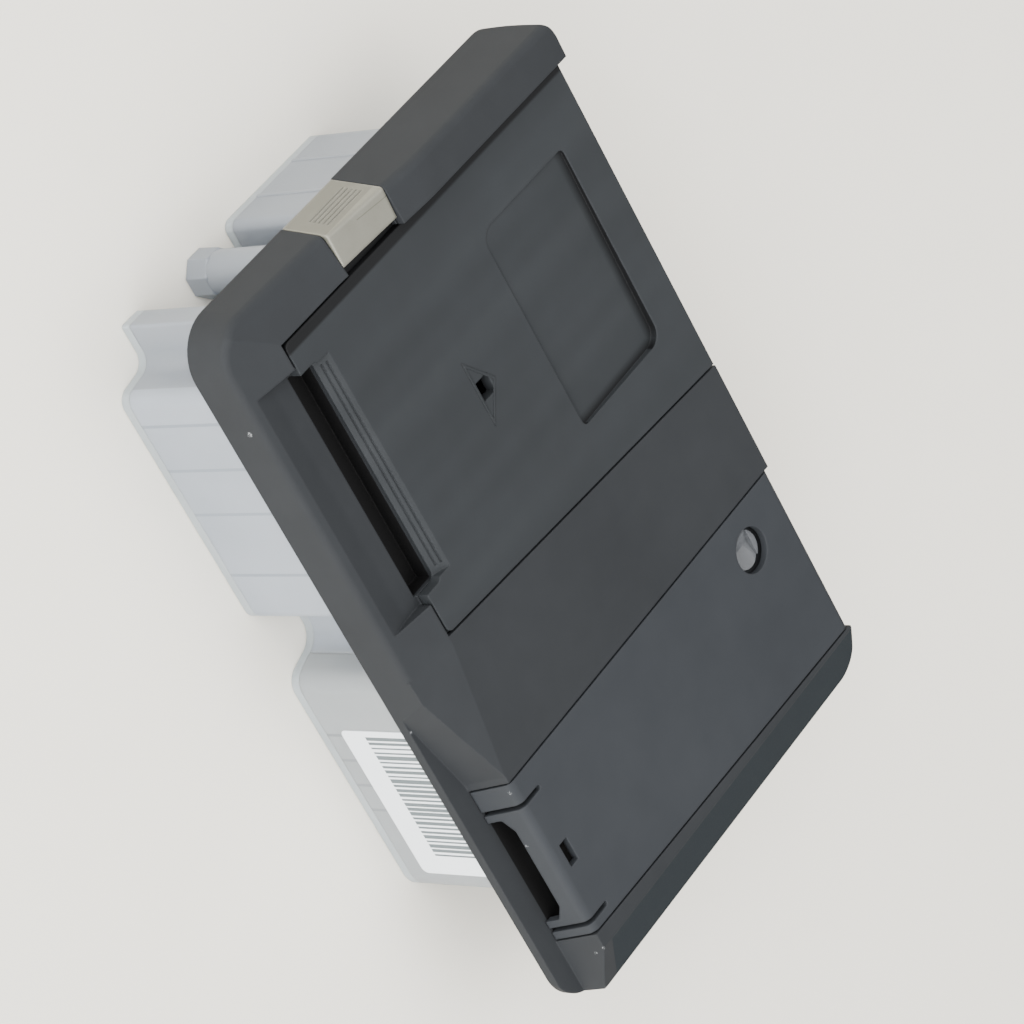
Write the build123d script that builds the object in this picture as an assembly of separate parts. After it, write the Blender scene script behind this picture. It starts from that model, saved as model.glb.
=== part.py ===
from build123d import *
import math
import os

os.makedirs("parts", exist_ok=True)

# A dishwasher detergent dispenser: a dark front frame with a sliding detergent door, a latch
# button in a raised bar and a hinged rinse aid lid, in front of a milky rear housing that
# holds the rinse aid tank, the detergent cup and the actuators.
# Millimetres. X runs from the latch bar to the rinse aid end, Y from the finger edge to the
# hinge edge, Z out of the front face. The pieces are drawn from the frame's lower left
# corner on the back plane of its flange, and moved so that the origin is the flange centre.

# Front frame
frame_w = 236.0
frame_h = 153.0
fascia_z = 15.0
flange_t = 2.5
wall = 2.5
rim_w = 4.6
corner_bl = 14.0
corner_br = 12.0
corner_tr = 8.0
corner_tl = 10.0
draft = 0.22
floor_z = 11.0
floor_t = 2.5
edge_r = 2.5
gap = 0.7
slip = 0.3
running = 0.05

# Slopes of the front: along the finger edge, and down to the low border at the rinse aid end
low_edge_z = 10.5
low_slope_y = 19.0
crease_x = 117.0
crease_y = 0.6
crease_z = 11.0
step_x = frame_w - 78.0
step_foot_y = 7.6
step_top_y = 11.8
bevel_x = frame_w - 14.5
bevel_z = 8.5

# Latch bar along the left side
bar_x = 16.0
bar_z = 19.6
bar_lip_z = 19.2
bar_low_y = 47.0
bar_full_y = 85.0
bar_low_z = 12.6
bar_skin = 2.4
bar_blend = 60.0

# Detergent door and its slide
door_y = 19.9
door_runner = 1.5
tongue_x = 12.8
runner_x = 126.0
door_right_low = 113.6
door_right_high = 122.4
grip_x0 = 26.4
grip_x1 = 100.4
grip_y = 27.4
grip_slope = 4.4
grip_foot = 0.6
scoop_y = 5.5
scoop_depth = 4.6
pocket_z = 4.5
thumb_x0 = 37.0
thumb_x1 = 103.2
thumb_y0 = frame_h - 55.1
thumb_y1 = frame_h - 13.7
thumb_depth = 2.5
thumb_r = 5.0
vent_x = 70.4
vent_y = 73.1
vent_w = 6.0
vent_h = 5.4
lug_y = 103.0
lug_l = 3.5
lug_w = 1.8

# Detergent cup
cup_x0 = 26.0
cup_x1 = 104.0
cup_y0 = 35.0
cup_y1 = 87.0
cup_floor_z = -24.0
cup_wall = 2.4
cup_flange = 2.6
seal_w = 1.2
seal_h = 1.0

# Latch button and release lever
button_y0 = 50.0
button_y1 = 73.4
button_skin = 1.3
button_lip_x = 13.6
button_travel = 2.2
skirt_t = 1.0
pivot_x = 8.3
pivot_y = 92.0
push_y = 68.5
lever_h = 1.7
hub_r = 2.7
pin_r = 1.2
tooth_l = 4.0
lever_room_x = 5.4
arm_x0 = 5.6
arm_x1 = 9.0
tail_x = 7.4
push_l = 5.0
cap_low_z = 15.2
cap_low_lip = 14.9
cap_high_z = 17.4
cap_high_lip = 16.8
groove_count = 5
groove_first_z = 6.2
groove_pitch = 1.5
groove_w = 0.55
groove_l = 16.0
peg_y = 104.0
peg_x = 9.8
peg_w = 1.8
peg_l = 4.0
peg_z = -18.0
latch_wire = 0.3
latch_coil_r = 1.0
latch_turns = 3

# Rinse aid lid
lid_x = frame_w - 75.0
lid_right_low = frame_w - 20.2
lid_right_high = frame_w - 16.0
lid_t = 2.3
bend_r = 3.2
barrel_r = 2.5
hinge_pin_r = 1.2
hinge_grip = 2.4
tab_x0 = lid_x + 8.8
tab_x1 = frame_w - 24.5
slot_w = 1.6
slot_y = 20.7
tab_rib = 2.4
tab_corner = 4.5
tab_z = 9.2
finger_back = 22.0
tab_hole_x = lid_x + 30.0
tab_hole_y = 17.9
tab_hole_w = 8.0
tab_hole_h = 3.6
eye_x = lid_x + 13.8
eye_y = frame_h - 21.2
eye_r = 7.0
lens_r = 6.0
lens_facet = 2.2

# Rear housing with the rinse aid tank
back_z = -40.0
deck_t = 2.0
cover_t = 3.0
skin = 1.5
body_left = 6.0
body_low = 4.6
arm_low = 17.8
arm_top = 25.5
arm_right = 18.5
box_left = 20.5
box_right = 97.5
notch_y = 19.5
notch_right = 115.0
tank_left = 118.0
tank_right = frame_w - 38.0
body_top = frame_h - 7.0
box_top = 109.5
box_low = 64.5
waist_x = 22.0
post_x = 12.6
post_y = 51.0
post_r = 6.4
inner_post_x = 72.0
inner_post_y = body_top - skin - post_r + 0.4
far_post_x = frame_w - 26.0
far_post_y = 36.0
far_post_top_y = frame_h - 25.0
boss_r = 4.0
small_boss_r = 3.6
ear_x = frame_w - 17.0
ear_y0 = 26.0
ear_y1 = frame_h - 15.0
rib_t = 0.9
rib_h = 0.35
rib_in = 1.0
left_ribs_y = (78.0, 95.0)
low_ribs_x = (30.0, 45.0, 60.0, 81.0)
tank_rib_first = 20.5
tank_rib_pitch = 9.25
neck_x = lid_x + 19.0
neck_y = 76.0
neck_r = 14.0
neck_wall = 2.5
neck_rise = 0.5
plug_gap = 0.6
plug_in = 1.8

# Actuators
motor_x0 = 25.0
motor_x1 = 66.0
motor_y0 = 93.0
motor_y1 = 115.0
motor_z0 = -31.0
motor_z1 = -5.0
plunger_r = 2.5
plunger_z = -13.0
plunger_in = 12.0
solenoid_x0 = 78.0
solenoid_x1 = 104.0
solenoid_y0 = 94.0
solenoid_y1 = 114.0
solenoid_z0 = -28.0
solenoid_z1 = -6.0
yoke_t = 2.0
coil_r = 8.4
dosing_stroke = 2.5
dosing_r = 3.0
tip_l = 4.0
outlet_x = 128.0
blade_w = 6.3
blade_t = 0.8
blade_l = 8.0
blade_z = -24.0
blade_in = 6.0
blade_side = 5.5
screw_r = 1.5
screw_head_r = 3.2
screw_head_h = 2.0
head_seat_z = -12.0
case_screw_l = 16.5
small_screw_l = 6.0
foot_w = 8.0
foot_t = 3.0
spring_wire = 0.7
spring_turns = 4
collar_gap = 8.0

# Label on the tank wall and gasket behind the flange
label_x0 = 136.5
label_x1 = tank_right - 8.5
label_z0 = -30.5
label_z1 = -9.5
label_t = 0.25
label_r = 2.0
gasket_in = 2.3
gasket_w = 2.0
gasket_t = 2.4

# Places that several pieces share
origin_shift = Pos(-frame_w / 2, -frame_h / 2, 0)
ceiling_z = floor_z - floor_t
tongue_z = floor_z + slip
skin_z = tongue_z + door_runner
groove_z = skin_z + slip
ledge_z = fascia_z - 0.1
lid_under = fascia_z - lid_t
door_top = frame_h - 0.4
hinge_y = frame_h - barrel_r - 0.6
hinge_z = fascia_z - barrel_r
neck_z = floor_z + neck_rise
lever_z = floor_z + 0.4
lug_x = tongue_x - lug_w
tooth_x = tongue_x - 0.4
tooth_y = lug_y + lug_l + slip
skirt_pocket = skirt_t + button_travel + slip
lid_bay_x = lid_x - gap
dosing_z = (solenoid_z0 + solenoid_z1) / 2
wall_low = back_z + cover_t
screw_spots = [
    (post_x, post_y),
    (inner_post_x, inner_post_y),
    (far_post_x, far_post_y),
    (far_post_x, far_post_top_y),
]
motor_feet_y = motor_y1 + foot_w / 2
solenoid_feet_y = solenoid_y1 + foot_w / 2
motor_screw_spots = [(motor_x0 + 7, motor_feet_y), (motor_x1 - 7, motor_feet_y)]
solenoid_screw_spots = [(solenoid_x0 + 6, solenoid_feet_y), (solenoid_x1 - 6, solenoid_feet_y)]


def block(x0, x1, y0, y1, z0, z1):
    """A box between two corners."""
    return Pos((x0 + x1) / 2, (y0 + y1) / 2, (z0 + z1) / 2) * Box(x1 - x0, y1 - y0, z1 - z0)


def tube_z(x, y, r, z0, z1):
    """A round bar along Z."""
    return Pos(x, y, (z0 + z1) / 2) * Cylinder(r, z1 - z0)


def tube_x(y, z, r, x0, x1):
    """A round bar along X."""
    return Pos((x0 + x1) / 2, y, z) * Rot(0, 90, 0) * Cylinder(r, x1 - x0)


def rounded(points, radii):
    """A flat outline with its own radius at each corner, zero for a sharp one."""
    sketch = Polygon(*points, align=None)
    for point, radius in zip(points, radii):
        if radius > 0:
            corner = sketch.vertices().sort_by_distance((point[0], point[1], 0))[0]
            sketch = fillet(corner, radius)
    return sketch


def plan(points, z0, z1, radii=None):
    """An outline seen from the front, between two heights."""
    sketch = rounded(points, radii or [0] * len(points))
    return extrude(Plane.XY.offset(z0) * sketch, z1 - z0, dir=(0, 0, 1))


def side(points, x0, x1, radii=None):
    """An outline of (Y, Z) points, carried along X."""
    sketch = rounded(points, radii or [0] * len(points))
    return extrude(Plane.YZ.offset(x0) * sketch, x1 - x0, dir=(1, 0, 0))


def section(points, y0, y1, radii=None):
    """An outline of (X, Z) points, carried along Y."""
    sketch = rounded(points, radii or [0] * len(points))
    return extrude(Plane.XZ.offset(-y0) * sketch, y1 - y0, dir=(0, 1, 0))


def above(origin, normal, room):
    """The part of a room that lies above a plane."""
    return room & (Plane(origin=origin, z_dir=normal) * Pos(0, 0, 150) * Box(800, 800, 300))


def coil(radius, wire, length, turns):
    """A compression spring along its own Z axis, from zero up."""
    pitch = (length - wire) / turns
    path = Pos(0, 0, wire / 2) * Helix(pitch=pitch, height=pitch * turns, radius=radius)
    profile = Plane(origin=path @ 0, z_dir=path % 0) * RegularPolygon(wire / 2, 8)
    return sweep(profile, path=path, is_frenet=True)


def screw(x, y, seat, length):
    """A self-tapping screw whose tip points to the front, its head behind the seat."""
    points = [
        (0, seat - screw_head_h),
        (screw_head_r, seat - screw_head_h),
        (screw_head_r, seat),
        (screw_r, seat),
        (screw_r, seat + length),
        (0, seat + length),
    ]
    return Pos(x, y, 0) * revolve(Plane.XZ * Polygon(*points, align=None), axis=Axis.Z)


def group(pieces):
    """Like pieces of one node, each its own solid."""
    return Compound([solid for piece in pieces for solid in piece.solids()])


def between(y, y0, y1, low, high):
    """A straight run from one value to another along Y."""
    return low + (high - low) * (y - y0) / (y1 - y0)


def door_edge(y):
    """The door's slanting right edge."""
    return between(y, door_y, frame_h, door_right_low, door_right_high)


def lid_edge(y):
    """The lid's slanting right edge."""
    return between(y, step_top_y, frame_h, lid_right_low, lid_right_high)


def write(name, shape):
    """One file for each piece, with the origin at the flange centre."""
    export_step(origin_shift * shape, f"parts/{name}.step")


# Front frame. Its outline is drafted on the bar's side and the finger edge, upright elsewhere.
frame_points = [(0, 0), (frame_w, 0), (frame_w, frame_h), (0, frame_h)]
outline = rounded(frame_points, [corner_bl, corner_br, corner_tr, corner_tl])
grown = rounded(
    [(0, 0), (2 * frame_w, 0), (2 * frame_w, 2 * frame_h), (0, 2 * frame_h)], [corner_bl, 0, 0, 0]
)
drafted = extrude(grown, bar_z + 4, dir=(0, 0, 1), taper=math.degrees(math.atan(draft)))
envelope = drafted & extrude(outline, bar_z + 4, dir=(0, 0, 1))


# The bar's top runs between an outer and an inner edge of their own heights
def bar_face(low, mid, high):
    """The bar's height along Y at one of its two edges."""
    points = [
        (-5, -5),
        (frame_h + 5, -5),
        (frame_h + 5, high),
        (bar_full_y, high),
        (bar_low_y, mid),
        (-5, low),
    ]
    return rounded(points, [0, 0, 0, bar_blend, bar_blend, 0])


bar_outer = Plane.YZ * bar_face(low_edge_z - 0.3, bar_low_z, bar_z)
bar_inner = Plane.YZ.offset(bar_x) * bar_face(fascia_z, fascia_z + 0.1, bar_lip_z)
bar = loft([bar_outer, bar_inner], ruled=True)
front = envelope & (bar + block(bar_x, frame_w + 1, -1, frame_h + 1, -1, fascia_z))

# Slopes that shape the front's lower edge, its crease, the low border and the right side
rise = (fascia_z - low_edge_z) / low_slope_y
run_up = (fascia_z - low_edge_z - rise * step_top_y) / (step_x - crease_x)
near_edge = above((0, 0, low_edge_z), (0, -rise, 1), block(-1, 2 * frame_w, -5, low_slope_y, 0, 40))
far_edge = above((crease_x, 0, low_edge_z), (-run_up, -rise, 1), block(crease_x, step_x, -5, 40, 0, 40))
crease_run = Vector(step_x - crease_x, step_top_y - crease_y, fascia_z - crease_z)
crease_drop = Vector(step_x - crease_x, step_foot_y - crease_y, flange_t - crease_z)
facet_normal = crease_drop.cross(crease_run)
facet = above(
    (crease_x, crease_y, crease_z), facet_normal, block(crease_x / 2, step_x, -5, 40, flange_t, 40)
)
step = side(
    [(-5, flange_t), (step_foot_y, flange_t), (step_top_y, fascia_z), (step_top_y, 40), (-5, 40)],
    step_x,
    frame_w + 1,
)
bevel_drop = (fascia_z - bevel_z) / (frame_w - bevel_x)
bevel = section(
    [(bevel_x, fascia_z), (frame_w + 9, bevel_z - 9 * bevel_drop), (frame_w + 9, 40), (bevel_x, 40)],
    -5,
    frame_h + 5,
)
near_part = front - near_edge
rim = near_part.edges().filter_by(lambda e: e.center().Z > low_edge_z - 1.5 and e.length > 2)
rim = rim.filter_by(lambda e: e.center().X < 6 or (e.center().Y < 4 and e.length > 9))
near_part = fillet(rim, edge_r) & block(-1, crease_x, -1, frame_h + 1, -1, 40)
far_part = front - far_edge - facet - step - bevel
far_part = far_part & block(crease_x, frame_w + 1, -1, frame_h + 1, -1, 40)
front_frame = near_part + far_part

# The hollow behind the front, with the rooms that it leaves for pockets
lid_back_y = finger_back + wall
hollow = plan(
    [
        (wall + 2, wall + 2),
        (crease_x - 8, wall + 2),
        (step_x - wall, lid_back_y),
        (bevel_x, lid_back_y),
        (bevel_x, frame_h - wall),
        (wall + 2, frame_h - wall),
    ],
    flange_t,
    ceiling_z,
    [12, 0, 0, 0, 0, 8],
)
mouth = plan(
    [
        (rim_w, rim_w),
        (crease_x - 8, rim_w),
        (step_x - wall, lid_back_y + 2),
        (bevel_x - 2, lid_back_y + 2),
        (bevel_x - 2, frame_h - rim_w),
        (rim_w, frame_h - rim_w),
    ],
    -1,
    flange_t,
    [12, 0, 0, 0, 0, 8],
)
low_roof = above((0, 0, low_edge_z - wall), (0, -rise, 1), block(-1, step_x, -5, low_slope_y, 0, 40))
button_room = block(0, skirt_pocket + 4, button_y0 - wall, button_y1 + wall, -1, ceiling_z)
slot_room = block(grip_x0 - 3, grip_x1 + 3, door_y - 4, grip_y + 3, -1, ceiling_z)
front_frame = front_frame - (hollow + mouth - low_roof - button_room - slot_room)

# Bay of the sliding door: a straight groove for its runner below, the slanting edge above
groove = block(tongue_x - slip, runner_x + slip, door_y - slip, frame_h + 1, floor_z, groove_z)
lug_path = block(lug_x - slip, tongue_x, lug_y - 1, frame_h + 1, floor_z, groove_z)
opening = plan(
    [
        (bar_x, door_y - gap),
        (door_edge(door_y) + gap, door_y - gap),
        (door_edge(frame_h + 1) + gap, frame_h + 1),
        (bar_x, frame_h + 1),
    ],
    floor_z,
    fascia_z + 1,
)
finger_slot = block(grip_x0, grip_x1, door_y - gap - 0.1, grip_y + 0.5, pocket_z, fascia_z + 1)
scoop_mid = (scoop_y + door_y) / 2
scoop = side(
    [
        (scoop_y, low_edge_z + rise * scoop_y + 0.05),
        (scoop_mid, low_edge_z + rise * scoop_mid - scoop_depth * 0.62),
        (door_y, fascia_z - scoop_depth),
        (door_y, fascia_z + 2),
        (scoop_y, fascia_z + 2),
    ],
    grip_x0 - 2.5,
    grip_x1 + 2.8,
    [0, 14, 0, 0, 0],
)
cup_hole = block(cup_x0 - slip, cup_x1 + slip, cup_y0 - slip, cup_y1 + slip, ceiling_z - 1, floor_z + 1)
front_frame = front_frame - groove - lug_path - opening - finger_slot - scoop - cup_hole

# Room for the latch inside the bar, and the notch that the button fills
bar_roof = bar_lip_z - bar_skin
bar_room = side(
    [
        (button_y1 - 1, ledge_z),
        (button_y1 - 1, fascia_z + 0.4),
        (bar_full_y + 1, bar_roof),
        (frame_h - 4, bar_roof),
        (frame_h - 4, ledge_z),
    ],
    draft * bar_z + bar_skin,
    bar_x + 1,
)
lever_room = side(
    [
        (push_y - push_l, floor_z),
        (tooth_y + tooth_l + 4, floor_z),
        (tooth_y + tooth_l + 4, bar_roof),
        (bar_full_y + 1, bar_roof),
        (button_y1 - 1, fascia_z + 0.4),
        (push_y - push_l, fascia_z + 0.4),
    ],
    lever_room_x,
    lug_x + slip,
)
push_room = block(lever_room_x, tongue_x, push_y - push_l, button_y1 + 3, floor_z, groove_z)
button_notch = block(-1, bar_x + 1, button_y0, button_y1, groove_z, bar_z + 2)
skirt_notch = section(
    [
        (-1, -1),
        (skirt_pocket - draft, -1),
        (skirt_pocket + draft * groove_z, groove_z),
        (skirt_pocket + draft * groove_z, bar_z + 2),
        (-1, bar_z + 2),
    ],
    button_y0,
    button_y1,
)
push_window = block(skirt_pocket - 0.1, 6, push_y - 3.5, push_y + 3.5, floor_z, groove_z + 0.1)
front_frame = front_frame - bar_room - lever_room - push_room
front_frame = front_frame - button_notch - skirt_notch - push_window

# Bay of the rinse aid lid, with the finger pocket under its tab
lid_foot_y = step_top_y + lid_t + gap
lid_bay_right = lid_edge(frame_h + 1) + gap
lid_bay = plan(
    [
        (lid_bay_x, -1),
        (lid_edge(-1) + gap, -1),
        (lid_bay_right, frame_h + 1),
        (lid_bay_x, frame_h + 1),
    ],
    floor_z,
    fascia_z + 1,
)
lid_foot = plan(
    [
        (lid_bay_x, -1),
        (lid_edge(-1) + gap, -1),
        (lid_edge(lid_foot_y) + gap, lid_foot_y),
        (lid_bay_x, lid_foot_y),
    ],
    flange_t,
    floor_z + 1,
)
finger_pocket = block(tab_x0 + tab_rib, tab_x1 - tab_rib, step_foot_y, finger_back, flange_t, floor_z + 1)
hinge_bay = tube_x(hinge_y, hinge_z, barrel_r + 0.4, lid_bay_x, lid_edge(hinge_y) + gap)
hinge_end = block(
    lid_bay_x, lid_edge(hinge_y) + gap, hinge_y, frame_h + 1, hinge_z - barrel_r - 0.4, fascia_z + 1
)
pin_hole = tube_x(
    hinge_y,
    hinge_z,
    hinge_pin_r + running,
    lid_bay_x - hinge_grip - slip,
    lid_edge(hinge_y) + gap + hinge_grip + slip,
)
neck_hole = tube_z(neck_x, neck_y, neck_r + neck_wall + slip, ceiling_z - 1, fascia_z)
eye_hole = tube_z(eye_x, eye_y, lens_r + slip, ceiling_z - 1, fascia_z)
front_frame = front_frame - lid_bay - lid_foot - finger_pocket
front_frame = front_frame - hinge_bay - hinge_end - pin_hole - neck_hole - eye_hole

# Bosses for the case screws, the seat of the lever's pin and the hole for its drop peg
for x, y in screw_spots:
    boss = tube_z(x, y, boss_r, 0, ceiling_z + 0.2)
    front_frame = front_frame + boss - tube_z(x, y, screw_r, -1, ceiling_z - 2)
peg_hole = block(peg_x - 2.9, peg_x + 1.5, peg_y - 3.2, peg_y + 3.2, ceiling_z - 1, floor_z + 1)
pin_seat = tube_z(pivot_x, pivot_y, pin_r, ceiling_z + 0.4, floor_z + 1)
front_frame = front_frame - peg_hole - pin_seat
write("front_frame", front_frame)

# Sliding door: a straight runner plate below, the slanting skin above, a ribbed finger grip
# along its lower edge, a sloping thumb recess and a small vent
runner = block(tongue_x, runner_x, door_y, door_top, tongue_z, skin_z)
door_face = plan(
    [
        (bar_x + gap, door_y),
        (door_edge(door_y), door_y),
        (door_edge(door_top), door_top),
        (bar_x + gap, door_top),
    ],
    skin_z,
    fascia_z,
    [2, 2, 0, 0],
)
lug = block(lug_x, tongue_x + 1, lug_y, lug_y + lug_l, tongue_z, skin_z)
door = runner + door_face + lug
grip_notch = plan(
    [(grip_x0, door_y - 2), (grip_x1, door_y - 2), (grip_x1, grip_y), (grip_x0, grip_y)],
    tongue_z - 1,
    fascia_z + 1,
    [0, 0, 2.5, 2.5],
)
grip_low = tongue_z + grip_foot
grip_cut = side(
    [
        (grip_y - 1, grip_low),
        (grip_y, grip_low),
        (grip_y + grip_slope, fascia_z),
        (grip_y + grip_slope, fascia_z + 1),
        (grip_y - 1, fascia_z + 1),
    ],
    grip_x0 + 1,
    grip_x1 - 1,
)
door = door - grip_notch - grip_cut
grip_tilt = math.degrees(math.atan2(fascia_z - grip_low, grip_slope))
for share in (0.36, 0.68):
    spot = Pos((grip_x0 + grip_x1) / 2, grip_y + grip_slope * share, grip_low + (fascia_z - grip_low) * share)
    door = door - spot * Rot(grip_tilt, 0, 0) * Box(grip_x1 - grip_x0 - 6, 0.6, 0.8)
thumb_room = plan(
    [(thumb_x0, thumb_y0), (thumb_x1, thumb_y0), (thumb_x1, thumb_y1), (thumb_x0, thumb_y1)],
    fascia_z - thumb_depth - 0.5,
    fascia_z + 1,
    [thumb_r, 2, thumb_r, 2],
)
thumb_fall = (
    0.5 * thumb_depth / (thumb_x1 - thumb_x0),
    0.45 * thumb_depth / (thumb_y1 - thumb_y0),
    1,
)
door = door - above((thumb_x0, thumb_y0, fascia_z - 0.05 * thumb_depth), thumb_fall, thumb_room)
door = door - block(
    vent_x - vent_w / 2, vent_x + vent_w / 2, vent_y - vent_h / 2, vent_y + vent_h / 2, floor_z, fascia_z + 1
)

# A guide strip with the latch lug forms the door's edge under the bar, face to face with the panel
strip_x = bar_x + gap
strip_room = block(0, strip_x, 0, frame_h, floor_z, fascia_z + 1)
write("detergent_door", door - strip_room)
write("door_guide_strip", door & strip_room)

# Detergent cup, a deep tray with a flange under the frame's floor and a groove for its seal
cup = block(cup_x0, cup_x1, cup_y0, cup_y1, cup_floor_z, floor_z)
cup = fillet(cup.edges().group_by(Axis.Z)[0] + cup.edges().filter_by(Axis.Z), 3)
well = block(
    cup_x0 + cup_wall,
    cup_x1 - cup_wall,
    cup_y0 + cup_wall,
    cup_y1 - cup_wall,
    cup_floor_z + cup_wall,
    floor_z + 20,
)
well = fillet(well.edges().filter_by(Axis.Z), 3)
well = fillet(well.edges().group_by(Axis.Z)[0], 2.5)
cup_lip = block(
    cup_x0 - cup_flange,
    cup_x1 + cup_flange,
    cup_y0 - cup_flange,
    cup_y1 + cup_flange,
    ceiling_z - 2,
    ceiling_z,
)
cup_points = [(cup_x0, cup_y0), (cup_x1, cup_y0), (cup_x1, cup_y1), (cup_x0, cup_y1)]
seal_edge = (cup_wall - seal_w) / 2
seal_outer = offset(rounded(cup_points, [3] * 4), -seal_edge)
seal_inner = offset(rounded(cup_points, [3] * 4), -seal_edge - seal_w)
door_seal = extrude(Plane.XY.offset(floor_z - seal_h) * (seal_outer - seal_inner), seal_h, dir=(0, 0, 1))
cup = (cup + cup_lip) - well - door_seal
write("detergent_cup", cup)
write("door_seal", door_seal)

# Latch button, a hollow cap that closes the notch in the bar; its ribbed outer face reaches
# down to the flange and a leg behind it pushes the release lever
button_low = button_y0 + slip
button_high = button_y1 - slip
cap_foot = groove_z + slip
cap_inner_x = draft * cap_foot + skirt_t


def cap_end(y, ridge_z, lip_z):
    """The button's outline across the bar at one of its ends."""
    points = [
        (0, 0.3),
        (draft * ridge_z, ridge_z),
        (button_lip_x, lip_z),
        (button_lip_x, cap_foot),
        (cap_inner_x, cap_foot),
        (skirt_t, 0.3),
    ]
    return Plane.XZ.offset(-y) * Polygon(*points, align=None)


def cap_core(y, ridge_z, lip_z):
    """The hollow under the cap at one of its ends."""
    points = [
        (cap_inner_x, cap_foot - 1),
        (cap_inner_x, cap_foot),
        (draft * ridge_z + button_skin, ridge_z - button_skin),
        (button_lip_x - button_skin, lip_z - button_skin),
        (button_lip_x - button_skin, cap_foot - 1),
    ]
    return Plane.XZ.offset(-y) * Polygon(*points, align=None)


button = loft(
    [
        cap_end(button_low, cap_low_z, cap_low_lip),
        cap_end(button_high, cap_high_z, cap_high_lip),
    ],
    ruled=True,
)
core = loft(
    [
        cap_core(button_low + button_skin, cap_low_z, cap_low_lip),
        cap_core(button_high - button_skin, cap_high_z, cap_high_lip),
    ],
    ruled=True,
)
button = button - core
ridge = button.edges().filter_by(lambda e: e.length > 22.5 and 2 < e.center().X < 5 and e.center().Z > 15.9)
button = fillet(ridge, 1.0)
for count in range(groove_count):
    height = groove_first_z + groove_pitch * count
    spot = Pos(draft * height, (button_low + button_high) / 2 + 1, height)
    button = button - spot * Rot(0, math.degrees(math.atan(draft)), 0) * Box(0.8, groove_l, groove_w)
push_leg = block(
    draft * groove_z + 0.4,
    arm_x0 - slip,
    push_y - push_l / 2,
    push_y + push_l / 2,
    lever_z + 0.2,
    cap_foot + 0.8,
)
button = button + push_leg
write("latch_button", button)

# Release lever, one moulding with a push arm, a tooth that holds the door's lug and a peg
# that drops through the frame to the wax motor
lever = block(arm_x0, arm_x1, push_y - 3, pivot_y, lever_z, lever_z + lever_h)
lever = lever + block(tail_x, lug_x - slip, pivot_y, tooth_y + tooth_l, lever_z, lever_z + lever_h)
lever = lever + tube_z(pivot_x, pivot_y, hub_r, lever_z, lever_z + lever_h + 1)
lever = lever + block(8, tooth_x, tooth_y, tooth_y + tooth_l, lever_z, skin_z - 0.2)
lever = lever + block(
    peg_x - peg_w / 2, peg_x + peg_w / 2, peg_y - peg_l / 2, peg_y + peg_l / 2, peg_z, lever_z + 1
)
lever = lever - tube_z(pivot_x, pivot_y, pin_r + running, lever_z - 1, lever_z + 8)
write("release_lever", lever)

# Steel pin that the lever turns on, and the coil spring that holds its tooth in place
lever_pin = tube_z(pivot_x, pivot_y, pin_r, ceiling_z + 0.4, lever_z + lever_h + 1.4)
write("lever_pin", lever_pin)
latch_spring = coil(latch_coil_r, latch_wire, tail_x - lever_room_x - 0.1, latch_turns)
latch_spring = Pos(lever_room_x + 0.05, peg_y - 4, lever_z + lever_h / 2) * Rot(0, 90, 0) * latch_spring
write("latch_spring", latch_spring)

# Wax motor, a sealed body with two screw ears; its plunger pushes the lever's peg
motor = block(motor_x0, motor_x1, motor_y0, motor_y1, motor_z0, motor_z1)
motor = fillet(motor.edges().filter_by(Axis.X), 3)
motor = motor + tube_x(peg_y, plunger_z, plunger_r + 1.2, motor_x0 - 2.5, motor_x0 + 1)
for x, y in motor_screw_spots:
    motor = motor + block(
        x - foot_w / 2, x + foot_w / 2, motor_y1 - 4, y + foot_w / 2, motor_z1 - foot_t, motor_z1
    )
    motor = motor - tube_z(x, y, screw_r + 0.2, motor_z1 - foot_t - 1, motor_z1 + 1)
motor = motor - tube_x(peg_y, plunger_z, plunger_r + running, motor_x0 - 5, motor_x0 + plunger_in + 2)
write("wax_motor", motor)
motor_plunger = tube_x(peg_y, plunger_z, plunger_r, peg_x + peg_w / 2 + slip, motor_x0 + plunger_in)
motor_plunger = chamfer(motor_plunger.edges().group_by(Axis.X)[0], 0.6)
write("motor_plunger", motor_plunger)

# Dosing solenoid: a steel yoke round a coil, whose plunger pulls a soft tip off the outlet
# inside the tank against a coil spring
yoke = block(solenoid_x0, solenoid_x1, solenoid_y0, solenoid_y1, solenoid_z0, solenoid_z1)
yoke = yoke - block(
    solenoid_x0 + yoke_t, solenoid_x1 - yoke_t, 0, frame_h, solenoid_z0 + yoke_t, solenoid_z1 - yoke_t
)
winding = tube_x(peg_y, dosing_z, coil_r, solenoid_x0 + 1, solenoid_x1 - 1)
solenoid = yoke + winding
for x, y in solenoid_screw_spots:
    solenoid = solenoid + block(
        x - foot_w / 2, x + foot_w / 2, solenoid_y1 - 1, y + foot_w / 2, solenoid_z1 - yoke_t, solenoid_z1
    )
    solenoid = solenoid - tube_z(x, y, screw_r + 0.2, solenoid_z1 - 3, solenoid_z1 + 1)
solenoid = solenoid - tube_x(peg_y, dosing_z, dosing_r + running, solenoid_x0 + 5, solenoid_x1 + 1)
write("dosing_solenoid", solenoid)
collar_x = solenoid_x1 + collar_gap
stem_end = outlet_x - tip_l - 1
dosing_plunger = tube_x(peg_y, dosing_z, dosing_r, solenoid_x0 + 5 + dosing_stroke + slip, stem_end)
dosing_plunger = dosing_plunger + tube_x(peg_y, dosing_z, dosing_r - 1.2, stem_end, stem_end + 2)
dosing_plunger = dosing_plunger + tube_x(peg_y, dosing_z, dosing_r + 2, collar_x, collar_x + 1)
write("dosing_plunger", dosing_plunger)
dosing_tip = tube_x(peg_y, dosing_z, dosing_r + 0.6, stem_end, outlet_x - slip)
dosing_tip = fillet(dosing_tip.edges().group_by(Axis.X)[-1], 1)
dosing_tip = dosing_tip - tube_x(peg_y, dosing_z, dosing_r - 1.2, stem_end - 1, stem_end + 2)
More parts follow.
